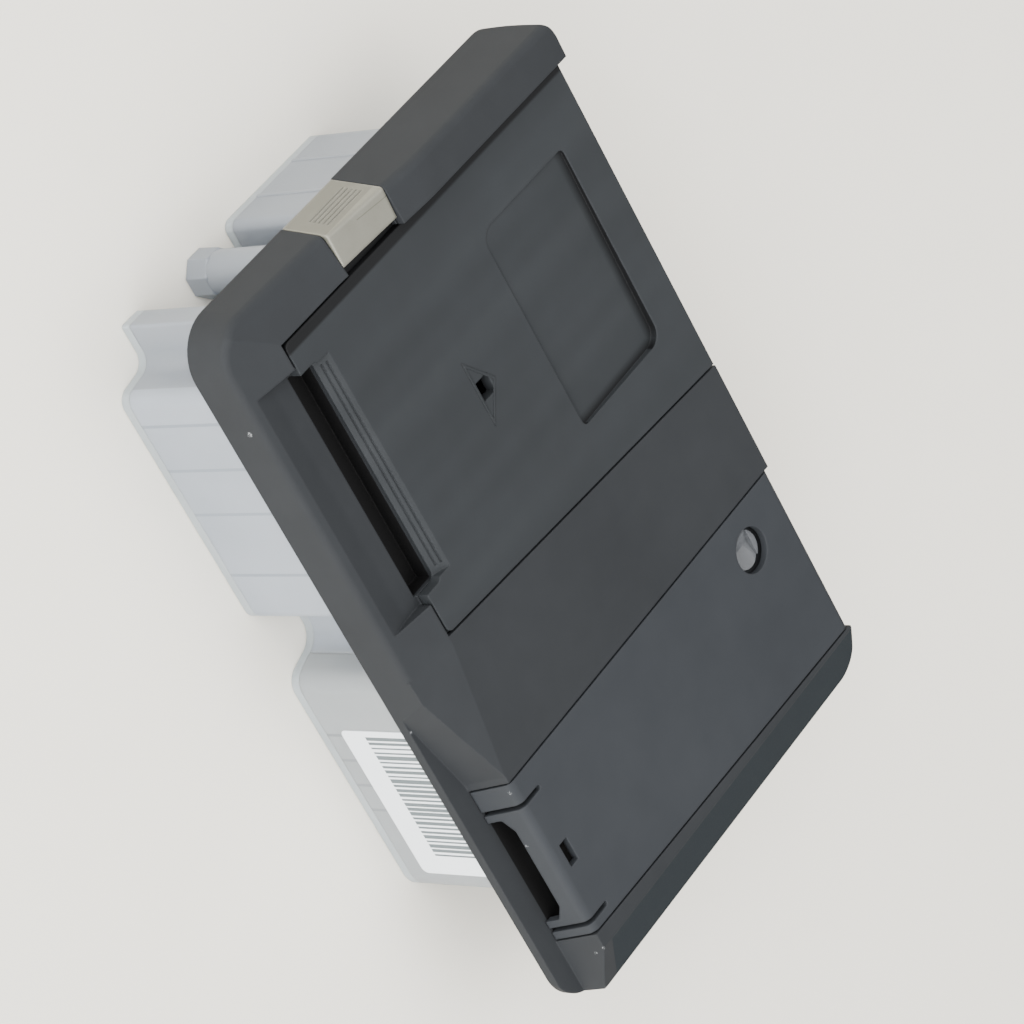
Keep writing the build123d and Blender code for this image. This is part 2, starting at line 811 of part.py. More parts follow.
write("dosing_tip", dosing_tip)
plunger_spring = coil(dosing_r + 0.8, spring_wire, collar_x - solenoid_x1 - 0.1, spring_turns)
plunger_spring = Pos(solenoid_x1 + 0.05, peg_y, dosing_z) * Rot(0, 90, 0) * plunger_spring
write("plunger_spring", plunger_spring)

# Blade terminals of both actuators
blades = [
    block(motor_x1, motor_x1 + blade_l, y - blade_w / 2, y + blade_w / 2, blade_z, blade_z + blade_t)
    for y in (motor_y0 + blade_side, motor_y1 - blade_side)
]
blades += [
    block(x, x + blade_t, peg_y - blade_w / 2, peg_y + blade_w / 2, solenoid_z0 - blade_l, solenoid_z0)
    for x in (solenoid_x0 + blade_in, solenoid_x1 - blade_in - blade_t)
]
write("actuator_terminals", group(blades))

# Rear housing: a deck behind the frame, walls round the cup and the mechanism, four screw
# posts, and the tank with its filler neck and dosing outlet
body_points = [
    (body_left, arm_low),
    (arm_right, arm_low),
    (box_left, body_low),
    (box_right, body_low),
    (box_right, notch_y),
    (notch_right, notch_y),
    (tank_left + 1, body_low),
    (tank_right, body_low),
    (tank_right, body_top),
    (waist_x, body_top),
    (waist_x, box_top),
    (body_left, box_top),
    (body_left, box_low),
    (waist_x, box_low),
    (waist_x, arm_top),
    (body_left, arm_top),
]
body_outline = rounded(body_points, [0.8, 5, 4.5, 4, 2, 7, 6, 7, 7, 3, 0, 3, 3, 0, 0, 0.8])
shell = extrude(Plane.XY.offset(wall_low) * body_outline, -deck_t - wall_low, dir=(0, 0, 1))
inner_outline = offset(body_outline, -skin)
rooms = extrude(Plane.XY.offset(wall_low - 1) * inner_outline, 1 - deck_t - wall_low, dir=(0, 0, 1))
partition = block(tank_left - skin, tank_left, notch_y + 0.5, body_top - 0.5, wall_low, -deck_t)
deck_points = [
    (body_left, body_low + 2),
    (tank_right, body_low + 2),
    (tank_right, ear_y0),
    (ear_x, ear_y0),
    (ear_x, ear_y1),
    (tank_right, ear_y1),
    (tank_right, body_top),
    (body_left, body_top),
]
deck = plan(deck_points, -deck_t, 0, [12, 7, 0, 4, 4, 0, 7, 3])
housing = (shell - rooms) + partition + deck
for x, y in screw_spots:
    foot_z = wall_low if x == inner_post_x else back_z
    housing = housing + tube_z(x, y, post_r, foot_z, 0)
for y in left_ribs_y:
    housing = housing + block(
        body_left - rib_h, body_left + 0.2, y - rib_t / 2, y + rib_t / 2, wall_low, -deck_t
    )
tank_rib_count = int((label_x1 - tank_left - tank_rib_first) / tank_rib_pitch)
tank_ribs_x = tuple(tank_left + tank_rib_first + tank_rib_pitch * count for count in range(tank_rib_count))
for x in low_ribs_x + tank_ribs_x:
    housing = housing + block(
        x - rib_t / 2, x + rib_t / 2, body_low + skin - 0.2, body_low + skin + rib_in, wall_low, -deck_t
    )
housing = housing + tube_z(neck_x, neck_y, neck_r + neck_wall, -0.5, neck_z)
outlet = tube_x(peg_y, dosing_z, dosing_r + 1.5, outlet_x, outlet_x + 4)
outlet_arm = block(outlet_x, outlet_x + 4, peg_y - 2.5, peg_y + 2.5, dosing_z, -deck_t + 0.5)
housing = housing + outlet + outlet_arm
for x, y in motor_screw_spots:
    housing = housing + tube_z(x, y, small_boss_r, motor_z1, -deck_t + 0.2)
    housing = housing - tube_z(x, y, screw_r, motor_z1 - 1, -0.6)
for x, y in solenoid_screw_spots:
    housing = housing + tube_z(x, y, small_boss_r, solenoid_z1, -deck_t + 0.2)
    housing = housing - tube_z(x, y, screw_r, solenoid_z1 - 1, -0.6)
housing = housing - tube_z(neck_x, neck_y, neck_r, -deck_t - 1, neck_z + 1)
housing = housing - block(cup_x0 - 1, cup_x1 + 1, cup_y0 - 1, cup_y1 + 1, -deck_t - 1, 1)
housing = housing - tube_z(eye_x, eye_y, lens_r + slip, -deck_t - 1, 1)
housing = housing - block(peg_x - 2.3, peg_x + 1.5, peg_y - 3.2, peg_y + 3.2, -deck_t - 1, 1)
housing = housing - tube_x(peg_y, dosing_z, 1.2, outlet_x - 1, outlet_x + 3)
housing = housing - tube_x(peg_y, dosing_z, dosing_r + 2.4, tank_left - skin - 1, tank_left + 1)
for x, y in screw_spots:
    housing = housing - tube_z(x, y, screw_r + 0.3, back_z - 1, 1)
    housing = housing - tube_z(x, y, screw_head_r + 0.5, back_z - 1, head_seat_z)

# Two mouldings meet on a flat seam beside the tank: the bay of the cup and the actuators, and the tank
seam_x = tank_left - skin
bay_side = block(-1, seam_x, -1, frame_h + 1, back_z - 1, fascia_z)
tank_side = block(seam_x, frame_w + 1, -1, frame_h + 1, back_z - 1, fascia_z)
write("rear_housing", housing & bay_side)
write("tank_housing", housing & tank_side)

# Rear cover, welded over the open back of both, with a hole to reach the inner post's screw
cover = extrude(Plane.XY.offset(back_z) * body_outline, cover_t, dir=(0, 0, 1))
cover = cover - tube_z(inner_post_x, inner_post_y, screw_head_r + 0.5, back_z - 1, wall_low + 1)
write("rear_cover", cover)

# Soft grommet where the dosing plunger passes the tank wall
grommet = tube_x(peg_y, dosing_z, dosing_r + 2.4, tank_left - skin, tank_left)
grommet = grommet + tube_x(peg_y, dosing_z, dosing_r + 4, tank_left, tank_left + 1.2)
grommet = grommet + tube_x(peg_y, dosing_z, dosing_r + 4, tank_left - skin - 1.2, tank_left - skin)
grommet = grommet - tube_x(peg_y, dosing_z, dosing_r + running, tank_left - 10, tank_left + 10)
write("tank_grommet", grommet)

# Screws: the case screws in the posts, and those of the two actuators
write("case_screws", group([screw(x, y, head_seat_z, case_screw_l) for x, y in screw_spots]))
small_screws = [screw(x, y, motor_z1 - foot_t, small_screw_l) for x, y in motor_screw_spots]
small_screws += [screw(x, y, solenoid_z1 - yoke_t, small_screw_l) for x, y in solenoid_screw_spots]
write("actuator_screws", group(small_screws))

# Rinse aid lid: a plate with a barrel on its hinge edge and a steep wall at the other, where
# two slots free a finger tab
foot_z = flange_t + slip
lean = (step_top_y - step_foot_y) / (fascia_z - flange_t)
foot_y = step_foot_y + lean * (foot_z - flange_t)
lid_right = lid_edge(frame_h)
lid = side(
    [
        (hinge_y, fascia_z),
        (step_top_y, fascia_z),
        (foot_y, foot_z),
        (foot_y + lid_t, foot_z),
        (step_top_y + lid_t, lid_under),
        (hinge_y, lid_under),
    ],
    lid_x,
    lid_right,
    [0, bend_r, 0, 0, bend_r - lid_t, 0],
)
lid = lid + tube_x(hinge_y, hinge_z, barrel_r, lid_x, lid_right)
lid_trim = plan(
    [(lid_edge(-5), -5), (lid_edge(frame_h + 5), frame_h + 5), (frame_w, frame_h + 5), (frame_w, -5)],
    -1,
    fascia_z + 1,
)
lid = lid - lid_trim - tube_x(hinge_y, hinge_z, hinge_pin_r + running, lid_x - 1, frame_w)
for slot_x in (tab_x0 - slot_w / 2, tab_x1 + slot_w / 2):
    lid = lid - block(slot_x - slot_w / 2, slot_x + slot_w / 2, 0, slot_y - slot_w / 2, -1, fascia_z + 1)
    lid = lid - tube_z(slot_x, slot_y - slot_w / 2, slot_w / 2, -1, fascia_z + 1)
tab_cut = section(
    [
        (tab_x0 + tab_rib, 0),
        (tab_x1 - tab_rib, 0),
        (tab_x1 - tab_rib, tab_z - tab_corner / 2),
        (tab_x1 - tab_rib - tab_corner, tab_z),
        (tab_x0 + tab_rib + tab_corner, tab_z),
        (tab_x0 + tab_rib, tab_z - tab_corner / 2),
    ],
    0,
    lid_foot_y,
    [0, 0, 1, 1, 1, 1],
)
lid = lid - tab_cut - block(
    tab_hole_x - tab_hole_w / 2,
    tab_hole_x + tab_hole_w / 2,
    tab_hole_y - tab_hole_h / 2,
    tab_hole_y + tab_hole_h / 2,
    lid_under - 1,
    fascia_z + 1,
)
lid = lid - tube_z(eye_x, eye_y, eye_r, lid_under - 1, fascia_z + 1)
plug_core_r = neck_r - plug_gap - 3
lid = lid + tube_z(neck_x, neck_y, plug_core_r, neck_z - plug_in + 0.6, lid_under + 0.2)
write("rinse_lid", lid)

# Steel hinge pin, held in the frame at both ends
hinge_end_x = lid_edge(hinge_y) + gap + hinge_grip
hinge_pin = tube_x(hinge_y, hinge_z, hinge_pin_r, lid_bay_x - hinge_grip, hinge_end_x)
write("lid_hinge_pin", hinge_pin)

# Soft ring round the lid's plug, which closes the filler neck
plug = tube_z(neck_x, neck_y, neck_r - plug_gap, neck_z - plug_in, lid_under)
plug = plug + tube_z(neck_x, neck_y, neck_r + neck_wall - 0.4, neck_z + slip, lid_under)
plug = plug - tube_z(neck_x, neck_y, plug_core_r, neck_z - plug_in - 1, lid_under + 1)
write("lid_plug_seal", plug)

# Level window, a clear prism that stands in the tank and shows through the lid's eye
lens_top = lid_under - 0.5
lens = tube_z(eye_x, eye_y, lens_r, -10, lens_top)
lens = lens + tube_z(eye_x, eye_y, lens_r + 2, -deck_t - 2.4, -deck_t)
lens = lens - section(
    [(eye_x - lens_r - 1, -11), (eye_x, -6), (eye_x + lens_r + 1, -11)], eye_y - 9, eye_y + 9
)
lens = lens - section(
    [
        (eye_x, lens_top - lens_facet),
        (eye_x + lens_r + 1, lens_top + 0.1),
        (eye_x + lens_r + 1, lens_top + 1),
        (eye_x - lens_r - 1, lens_top + 1),
        (eye_x - lens_r - 1, lens_top + 0.1),
    ],
    eye_y - lens_r + 2,
    eye_y + lens_r - 2,
)
write("level_lens", lens)

# Gasket ring behind the flange
gasket_ring = offset(outline, -gasket_in) - offset(outline, -gasket_in - gasket_w)
write("flange_gasket", extrude(Plane.XY.offset(-gasket_t) * gasket_ring, gasket_t, dir=(0, 0, 1)))

# Paper label on the tank's wall
label = section(
    [(label_x0, label_z0), (label_x1, label_z0), (label_x1, label_z1), (label_x0, label_z1)],
    body_low - label_t,
    body_low,
    [label_r] * 4,
)
write("tank_label", label)
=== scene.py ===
from math import cos, radians, sin

import bmesh
import bpy
from mathutils import Matrix, Vector


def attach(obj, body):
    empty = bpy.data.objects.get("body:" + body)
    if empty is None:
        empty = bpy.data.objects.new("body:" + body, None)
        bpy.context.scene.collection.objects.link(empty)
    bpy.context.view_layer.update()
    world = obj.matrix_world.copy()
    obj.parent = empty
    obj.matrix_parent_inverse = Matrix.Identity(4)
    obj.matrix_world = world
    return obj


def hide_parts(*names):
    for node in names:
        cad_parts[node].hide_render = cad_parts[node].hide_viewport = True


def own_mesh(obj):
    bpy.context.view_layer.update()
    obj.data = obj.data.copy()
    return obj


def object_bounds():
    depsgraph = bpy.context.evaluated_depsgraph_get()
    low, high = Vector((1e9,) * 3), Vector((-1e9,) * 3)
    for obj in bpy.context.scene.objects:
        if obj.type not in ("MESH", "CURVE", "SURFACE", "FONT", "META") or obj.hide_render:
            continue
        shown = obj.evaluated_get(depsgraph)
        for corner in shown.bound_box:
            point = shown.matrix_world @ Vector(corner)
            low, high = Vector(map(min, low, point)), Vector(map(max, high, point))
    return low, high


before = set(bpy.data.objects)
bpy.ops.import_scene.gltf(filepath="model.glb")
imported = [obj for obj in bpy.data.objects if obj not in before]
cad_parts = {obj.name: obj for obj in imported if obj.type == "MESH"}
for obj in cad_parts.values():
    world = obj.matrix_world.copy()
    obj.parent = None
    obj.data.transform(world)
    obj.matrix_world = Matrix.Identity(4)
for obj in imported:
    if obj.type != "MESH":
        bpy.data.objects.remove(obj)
cad_low, cad_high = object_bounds()


# Rear housing: a milky moulding of natural polypropylene with the bay of the cup and the actuators,
# screwed behind the front through its posts. Light passes its wall, and the ribs inside show faintly.
# The post that stands clear of the bay ends in a flared collar with eight flats. The housing's end under
# the latch bar, with the post's collar, is painted in shade.
class Flow:
    """A value on its way through a node tree. Sums on it add Math nodes, add() makes any other node."""

    def __init__(self, tree, socket=None):
        self.tree = tree
        self.socket = socket

    def add(self, kind, settings=None, sockets=None, output=0):
        node = self.tree.nodes.new(kind)
        for name, value in (settings or {}).items():
            setattr(node, name, value)
        for key, value in (sockets or {}).items():
            if isinstance(value, Flow):
                self.tree.links.new(value.socket, node.inputs[key])
            else:
                node.inputs[key].default_value = value
        return Flow(self.tree, node.outputs[output] if node.outputs else None)

    def sum(self, operation, first, second):
        return self.add("ShaderNodeMath", {"operation": operation}, {0: first, 1: second})

    def __add__(self, other):
        return self.sum("ADD", self, other)

    def __radd__(self, other):
        return self.sum("ADD", other, self)

    def __sub__(self, other):
        return self.sum("SUBTRACT", self, other)

    def __rsub__(self, other):
        return self.sum("SUBTRACT", other, self)

    def __mul__(self, other):
        return self.sum("MULTIPLY", self, other)

    def __rmul__(self, other):
        return self.sum("MULTIPLY", other, self)

    def __lt__(self, other):
        return self.sum("LESS_THAN", self, other)

    def __gt__(self, other):
        return self.sum("GREATER_THAN", self, other)


def finish(name, roughness=0.5, **constants):
    """A new material: the material itself, its shader node, and a flow that starts at Object places."""
    material = bpy.data.materials.new(name)
    material.use_nodes = True
    shader = material.node_tree.nodes["Principled BSDF"]
    shader.inputs["Roughness"].default_value = roughness
    for key, value in constants.items():
        shader.inputs[key.replace("_", " ")].default_value = value
    place = Flow(material.node_tree).add("ShaderNodeTexCoord", output="Object")
    return material, shader, place


def link(flow, shader, socket):
    """Leads a flow into one of the shader's sockets."""
    flow.tree.links.new(flow.socket, shader.inputs[socket])


def noise(place, scale, detail=2.0, stretch=None):
    """Soft noise on Object places, stretched along an axis where a finish has a direction."""
    if stretch:
        place = place.add("ShaderNodeMapping", {}, {"Vector": place, "Scale": stretch})
    return place.add("ShaderNodeTexNoise", {}, {"Vector": place, "Scale": scale, "Detail": detail}, "Fac")


def part_of(place, axis):
    """One coordinate of a place."""
    return place.add("ShaderNodeSeparateXYZ", {}, {"Vector": place}, axis)


def blend(amount, low, high):
    """A colour between two others."""
    return amount.add("ShaderNodeMix", {"data_type": "RGBA"}, {0: amount, 6: low, 7: high}, 2)


def soft_edge(place, radius):
    """The surface's direction with its edges rounded, and how far each place is from being flat."""
    turned = place.add("ShaderNodeBevel", {"samples": 6}, {"Radius": radius})
    facing = place.add("ShaderNodeNewGeometry", output="Normal")
    along = place.add("ShaderNodeVectorMath", {"operation": "DOT_PRODUCT"}, {0: turned, 1: facing}, "Value")
    return turned, 1 - along


def bump(height, strength, distance, normal=None):
    """A bump from a height, on top of rounded edges where they are given."""
    sockets = {"Strength": strength, "Distance": distance, "Height": height}
    if normal:
        sockets["Normal"] = normal
    return height.add("ShaderNodeBump", {}, sockets)


def dress(material, *names):
    """Gives a material to CAD nodes."""
    for name in names:
        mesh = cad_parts[name].data
        mesh.materials.clear()
        mesh.materials.append(material)


def at(x, y, z):
    """A place in metres in the row's frame, from millimetres off the front's lower left corner."""
    return Vector((x - 118.0, y - 76.5, z)) / 1000


def bands(place, middles, half):
    """One in each of some narrow bands across X, zero elsewhere. Sizes in millimetres from the left."""
    across = part_of(place, "X")
    found = 0.0
    for middle in middles:
        sockets = {0: across, 1: at(middle, 0, 0).x, 2: half / 1000}
        found = found + across.add("ShaderNodeMath", {"operation": "COMPARE"}, sockets)
    return found


def milk(name, dark, pale, ribs, painted_shade_x):
    """Milky translucent plastic with haze, flow marks, the faint lines of the ribs behind its wall, and
    painted shade on the part below a given X.
    """
    material, shader, place = finish(
        name,
        IOR=1.49,
        Transmission_Weight=0.22,
        Subsurface_Weight=0.5,
        Subsurface_Radius=(1.0, 1.0, 1.1),
        Subsurface_Scale=0.003,
    )
    haze = noise(place, 26, 4)
    streaks = noise(place, 60, 3, (1, 1, 0.12))
    pits = noise(place, 900, 2)
    turned, edge = soft_edge(place, 0.0006)
    lines = bands(place, ribs, 0.5)
    # Painted shade: the part below the given X is darkened towards dark grey.
    painted_shade = part_of(place, "X") < at(painted_shade_x, 0, 0).x
    clear = blend(haze * 0.5 + streaks * 0.3 + edge * 1.2 - lines * 0.5, dark, pale)
    link(blend(painted_shade * 0.32, clear, (0.1, 0.1, 0.1, 1)), shader, "Base Color")
    link(0.26 + haze * 0.14 + pits * 0.08, shader, "Roughness")
    link(bump(streaks * 0.7 + pits * 0.3, 0.25, 0.0002, turned), shader, "Normal")
    return material


def solid(name, rings, material, hollow=False):
    """A closed form over rings of places. A hollow one runs on from its last ring to its first."""
    form = bmesh.new()
    loops = [[form.verts.new(spot) for spot in ring] for ring in rings]
    for low, high in zip(loops, loops[1:] + loops[:1] if hollow else loops[1:]):
        for k in range(len(low)):
            form.faces.new((low[k - 1], low[k], high[k], high[k - 1]))
    if not hollow:
        form.faces.new(loops[0])
        form.faces.new(loops[-1])
    bmesh.ops.recalc_face_normals(form, faces=form.faces)
    mesh = bpy.data.meshes.new(name)
    form.to_mesh(mesh)
    form.free()
    mesh.materials.append(material)
    piece = bpy.data.objects.new(name, mesh)
    bpy.context.scene.collection.objects.link(piece)
    return piece


bay_ribs = (30, 45, 60, 81)
milky = milk("milky_plastic", (0.225, 0.258, 0.305, 1), (0.435, 0.475, 0.535, 1), bay_ribs, 20)
dress(milky, "rear_housing")

post_x, post_y = 12.6, 51.0
corners = [(cos(radians(45 * k + 22.5)), sin(radians(45 * k + 22.5))) for k in range(8)]
rings = [
    [at(post_x + reach * x, post_y + reach * y, z) for x, y in corners]
    for reach, z in ((6.2, -39.9), (7.2, -39.9), (7.0, -32.4), (6.2, -31.6))
]
collar = solid("post_collar", rings, milky, hollow=True)
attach(collar, "base")

# Rinse aid tank: the second milky moulding, with the filler neck and the far screw posts, joined to the
# first on a flat seam. Rinse aid has left it a little greyer and warmer than the bay.
tank_ribs = (138.5, 147.75, 157, 166.25)
hazy = milk("tank_plastic", (0.205, 0.225, 0.242, 1), (0.41, 0.436, 0.458, 1), tank_ribs, 0)
dress(hazy, "tank_housing")

# Rear cover: a flat plate of the same milky plastic, welded over the open back of the housing.
# Round marks of the mould's ejector pins show on it, and it is a little duller from lying on its back.
cover, shader, place = finish(
    "cover_plastic",
    IOR=1.49,
    Transmission_Weight=0.2,
    Subsurface_Weight=0.5,
    Subsurface_Radius=(1.0, 1.0, 1.1),
    Subsurface_Scale=0.003,
)
haze = noise(place, 22, 4)
rubs = noise(place, 240, 3, (0.3, 1, 1))
cells = place.add("ShaderNodeVectorMath", {"operation": "SNAP"}, {0: place, 1: (0.048, 0.047, 0.1)})
corner = place.add("ShaderNodeVectorMath", {"operation": "SUBTRACT"}, {0: place, 1: cells})
middle = (0.024, 0.0235, 0.06)
pins = place.add("ShaderNodeVectorMath", {"operation": "DISTANCE"}, {0: corner, 1: middle}, "Value") < 0.003
turned, edge = soft_edge(place, 0.0005)
tone = haze * 0.5 + rubs * 0.35 + edge * 1.5
link(blend(tone, (0.27, 0.31, 0.335, 1), (0.48, 0.525, 0.555, 1)), shader, "Base Color")
link(0.3 + rubs * 0.2, shader, "Roughness")
link(bump(rubs * 0.3 - pins * 0.8, 0.3, 0.0002, turned), shader, "Normal")
dress(cover, "rear_cover")

# Wax motor: a pale grey moulded case with a brass rod, screwed under the deck. It is a bought-in
# actuator, with a satin moulding and a turned rod.
motor, shader, place = finish("motor_plastic")
drift = noise(place, 40, 3)
pits = noise(place, 2200, 2)
turned, edge = soft_edge(place, 0.0005)
link(blend(drift * 0.7 + edge, (0.52, 0.52, 0.48, 1), (0.66, 0.66, 0.62, 1)), shader, "Base Color")
link(0.42 + pits * 0.2, shader, "Roughness")
link(bump(pits, 0.3, 0.00005, turned), shader, "Normal")
dress(motor, "wax_motor")

# Rod of the wax motor and the blade terminals of both actuators, of bright brass: the rod is turned,
# the blades are stamped, with a fine scratch along each.
brass, shader, place = finish("brass", Metallic=1.0)
tarnish = noise(place, 180, 4)
lines = noise(place, 4000, 1, (1, 0.04, 1))
link(blend(tarnish, (0.62, 0.44, 0.18, 1), (0.78, 0.6, 0.3, 1)), shader, "Base Color")
link(0.18 + tarnish * 0.2 + lines * 0.1, shader, "Roughness")
link(bump(lines, 0.15, 0.00003), shader, "Normal")
dress(brass, "motor_plunger", "actuator_terminals")

# Dosing solenoid: a plated steel yoke bent round a coil of varnished copper wire. The wire's turns run
# round the plunger's axis, which is the row's X.
yoke, shader, place = finish("yoke_steel", Metallic=1.0)
spot = part_of(place, "Y")
height = part_of(place, "Z")
across = spot - 0.0275
above = height + 0.017
middle = (across * across + above * above) < 0.0000722
wire = place.add("ShaderNodeTexWave", {"bands_direction": "X"}, {"Vector": place, "Scale": 900.0}, "Fac")
dull = noise(place, 300, 3)
link(blend(middle, (0.5, 0.5, 0.51, 1), (0.52, 0.2, 0.08, 1)), shader, "Base Color")
link(0.28 + dull * 0.2, shader, "Roughness")
link(bump(wire * middle + dull * 0.1, 0.5, 0.0002), shader, "Normal")
dress(yoke, "dosing_solenoid")

# Plunger of the dosing valve, the lever's pin and the hinge pin: bright drawn steel, lightly brushed
# along its length, and riding on the bodies that the CAD gives them.
steel, shader, place = finish("steel", Metallic=1.0)
lines = noise(place, 2600, 2, (0.05, 1, 1))
smudge = noise(place, 120, 3)
link(blend(smudge, (0.5, 0.5, 0.5, 1), (0.68, 0.68, 0.67, 1)), shader, "Base Color")
link(0.2 + lines * 0.18 + smudge * 0.08, shader, "Roughness")
link(bump(lines, 0.2, 0.00003), shader, "Normal")
dress(steel, "dosing_plunger", "lever_pin", "lid_hinge_pin")

# Seals: the grommet in the tank wall, the valve's tip, the door's seal, the lid's plug ring and the
# gasket behind the flange, all of black rubber with a bloom of pale dust.
rubber, shader, place = finish("rubber")
bloom = noise(place, 90, 5)
grit = noise(place, 1800, 2)
turned, edge = soft_edge(place, 0.0003)
link(blend(bloom * 0.8 + edge * 0.6, (0.018, 0.018, 0.019, 1), (0.05, 0.05, 0.051, 1)), shader, "Base Color")
link(0.62 + bloom * 0.25, shader, "Roughness")
link(bump(grit, 0.35, 0.00006, turned), shader, "Normal")
dress(rubber, "tank_grommet", "dosing_tip", "door_seal", "lid_plug_seal", "flange_gasket")


# Screws: thread-forming screws of zinc-plated steel with a pan head and a cross recess. Four hold the
# housing to the front from inside its posts, four smaller ones hold the actuators.
def settle(piece):
    """Makes a plain mesh of what a piece's modifiers grow."""
    graph = bpy.context.evaluated_depsgraph_get()
    grown = bpy.data.meshes.new_from_object(piece.evaluated_get(graph))
    piece.modifiers.clear()
    piece.data = grown
    return piece


def grow(name, points, tree, sizes):
    """An object on a set of points, with a node tree that grows its mesh from named sizes."""
    mesh = bpy.data.meshes.new(name)
    mesh.from_pydata(points, [], [])
    piece = bpy.data.objects.new(name, mesh)
    bpy.context.scene.collection.objects.link(piece)
    modifier = piece.modifiers.new("grow", "NODES")
    modifier.node_group = tree
    for item in tree.interface.items_tree:
        if item.item_type == "SOCKET" and item.in_out == "INPUT" and item.name in sizes:
            modifier[item.identifier] = sizes[item.name]
    return settle(piece)


def start_tree(name, sizes):
    """A new geometry tree with named sizes: the tree, its inputs' node and a flow."""
    tree = bpy.data.node_groups.new(name, "GeometryNodeTree")
    tree.interface.new_socket("Geometry", in_out="INPUT", socket_type="NodeSocketGeometry")
    tree.interface.new_socket("Geometry", in_out="OUTPUT", socket_type="NodeSocketGeometry")
    for size, kind in sizes.items():
        tree.interface.new_socket(size, in_out="INPUT", socket_type=kind)
    inputs = tree.nodes.new("NodeGroupInput")
    return tree, {socket.name: Flow(tree, socket) for socket in inputs.outputs if socket.name}, Flow(tree)


def end_tree(flow, material):
    """Ends a geometry tree in plain geometry that has a material."""
    plain = flow.add("GeometryNodeRealizeInstances", {}, {0: flow})
    painted = plain.add("GeometryNodeSetMaterial", {}, {"Geometry": plain, "Material": material})
    painted.add("NodeGroupOutput", {}, {0: painted})


zinc, shader, place = finish("zinc_plating", Metallic=1.0)
bloom = noise(place, 700, 4)
link(blend(bloom, (0.46, 0.47, 0.48, 1), (0.66, 0.66, 0.64, 1)), shader, "Base Color")
link(0.24 + bloom * 0.22, shader, "Roughness")
link(bump(bloom, 0.15, 0.00005), shader, "Normal")

real = "NodeSocketFloat"
screw_tree, size, flow = start_tree(
    "thread_forming_screw",
    {"Core": real, "Crest": real, "Length": real, "Head": real, "Rise": real, "Pitch": real},
)
turns = size["Length"].sum("DIVIDE", size["Length"], size["Pitch"])
core = flow.add(
    "GeometryNodeMeshCylinder", {}, {"Vertices": 20, "Radius": size["Core"], "Depth": size["Length"]}
)
lift = flow.add("ShaderNodeCombineXYZ", {}, {"Z": size["Length"] * 0.5})
core = flow.add("GeometryNodeTransform", {}, {"Geometry": core, "Translation": lift})
helix = flow.add(
    "GeometryNodeCurveSpiral",
    {},
    {
        "Resolution": 20,
        "Rotations": turns * 0.86,
        "Start Radius": size["Crest"] * 0.86,
        "End Radius": size["Crest"] * 0.86,
        "Height": size["Length"] * 0.84,
    },
)
ridge = flow.add("GeometryNodeCurvePrimitiveCircle", {}, {"Resolution": 3, "Radius": size["Crest"] * 0.14})
thread = flow.add("GeometryNodeCurveToMesh", {}, {"Curve": helix, "Profile Curve": ridge, "Fill Caps": True})
raised = flow.add("ShaderNodeCombineXYZ", {}, {"Z": size["Length"] * 0.12})
thread = flow.add("GeometryNodeTransform", {}, {"Geometry": thread, "Translation": raised})
head = flow.add(
    "GeometryNodeMeshCone",
    {},
    {
        "Vertices": 32,
        "Radius Top": size["Head"],
        "Radius Bottom": size["Head"] * 0.72,
        "Depth": size["Rise"],
    },
)
head = flow.add(
    "GeometryNodeTransform",
    {},
    {"Geometry": head, "Translation": flow.add("ShaderNodeCombineXYZ", {}, {"Z": size["Rise"] * -1.0})},
)
for turn in ((0.28, 1.15), (1.15, 0.28)):
    slot_size = flow.add(
        "ShaderNodeCombineXYZ",
        {},
        {"X": size["Head"] * turn[0], "Y": size["Head"] * turn[1], "Z": size["Rise"] * 1.2},
    )
    slot = flow.add("GeometryNodeMeshCube", {}, {"Size": slot_size})
    drop = flow.add("ShaderNodeCombineXYZ", {}, {"Z": size["Rise"] * -1.0})
    slot = flow.add("GeometryNodeTransform", {}, {"Geometry": slot, "Translation": drop})
    head = flow.add("GeometryNodeMeshBoolean", {"operation": "DIFFERENCE"}, {0: head, 1: slot})
joined = flow.add("GeometryNodeJoinGeometry", {}, {0: core})
for part in (thread, head):
    screw_tree.links.new(part.socket, joined.socket.node.inputs[0])
planted = flow.add("GeometryNodeInstanceOnPoints", {}, {"Points": size["Geometry"], "Instance": joined})
end_tree(planted, zinc)

case_screws = grow(
    "case_screw_set",
    [at(12.6, 51, -12), at(72, 138.5, -12), at(210, 36, -12), at(210, 128, -12)],
    screw_tree,
    {"Core": 0.0011, "Crest": 0.00148, "Length": 0.0164, "Head": 0.0031, "Rise": 0.0019, "Pitch": 0.0013},
)
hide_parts("case_screws")
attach(case_screws, "base")
small_screws = grow(
    "actuator_screw_set",
    [at(32, 119, -8), at(59, 119, -8), at(84, 118, -8), at(98, 118, -8)],
    screw_tree,
    {"Core": 0.0011, "Crest": 0.00148, "Length": 0.0059, "Head": 0.0031, "Rise": 0.0019, "Pitch": 0.0011},
)
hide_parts("actuator_screws")
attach(small_screws, "base")

# Springs: coils of bright steel wire, one that returns the release lever and one round the dosing
# plunger. Each stands on a fixed seat on the base, at its free length.
spring_tree, size, flow = start_tree(
    "coil_spring", {"Coil": real, "Wire": real, "Length": real, "Turns": real}
)
helix = flow.add(
    "GeometryNodeCurveSpiral",
    {},
    {
        "Resolution": 24,
        "Rotations": size["Turns"],
        "Start Radius": size["Coil"],
        "End Radius": size["Coil"],
        "Height": size["Length"] - size["Wire"],
    },
)
ring = flow.add("GeometryNodeCurvePrimitiveCircle", {}, {"Resolution": 8, "Radius": size["Wire"] * 0.5})
wire = flow.add("GeometryNodeCurveToMesh", {}, {"Curve": helix, "Profile Curve": ring, "Fill Caps": True})
inset = flow.add("ShaderNodeCombineXYZ", {}, {"X": size["Wire"] * 0.5})
wire = flow.add(
    "GeometryNodeTransform", {}, {"Geometry": wire, "Translation": inset, "Rotation": (0.0, 1.5708, 0.0)}
)
